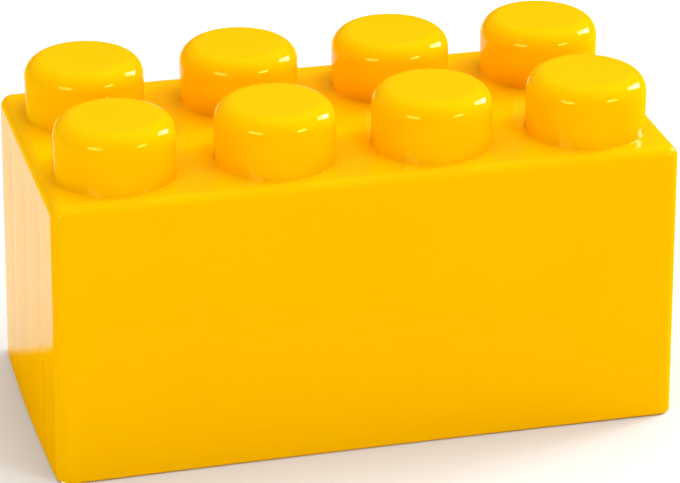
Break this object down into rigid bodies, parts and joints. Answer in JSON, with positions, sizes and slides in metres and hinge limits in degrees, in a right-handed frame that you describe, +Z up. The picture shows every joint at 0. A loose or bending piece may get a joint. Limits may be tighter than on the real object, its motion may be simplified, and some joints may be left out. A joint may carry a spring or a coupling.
{
  "type": "giant building block",
  "caption": "Long hollow plastic play block with rounded edges and round studs on its roof; the open underside has clutch tubes and ribs that grip the studs of another block.",
  "frame": {"origin": "middle of the base rim, on the floor plane", "axes": "+X along the block's length, +Y from its front to its back, +Z up towards the studs"},
  "size_m": [0.2028, 0.1012, 0.1125],
  "materials": {
    "shell_plastic": "glossy yellow moulded plastic",
    "core_plastic": "yellow moulded plastic, straight from the mould"
  },
  "bodies": {
    "root": {"block_shell": "shell_plastic", "clutch_core_left": "core_plastic", "clutch_core_middle": "core_plastic", "clutch_core_right": "core_plastic"}
  },
  "joints": []
}
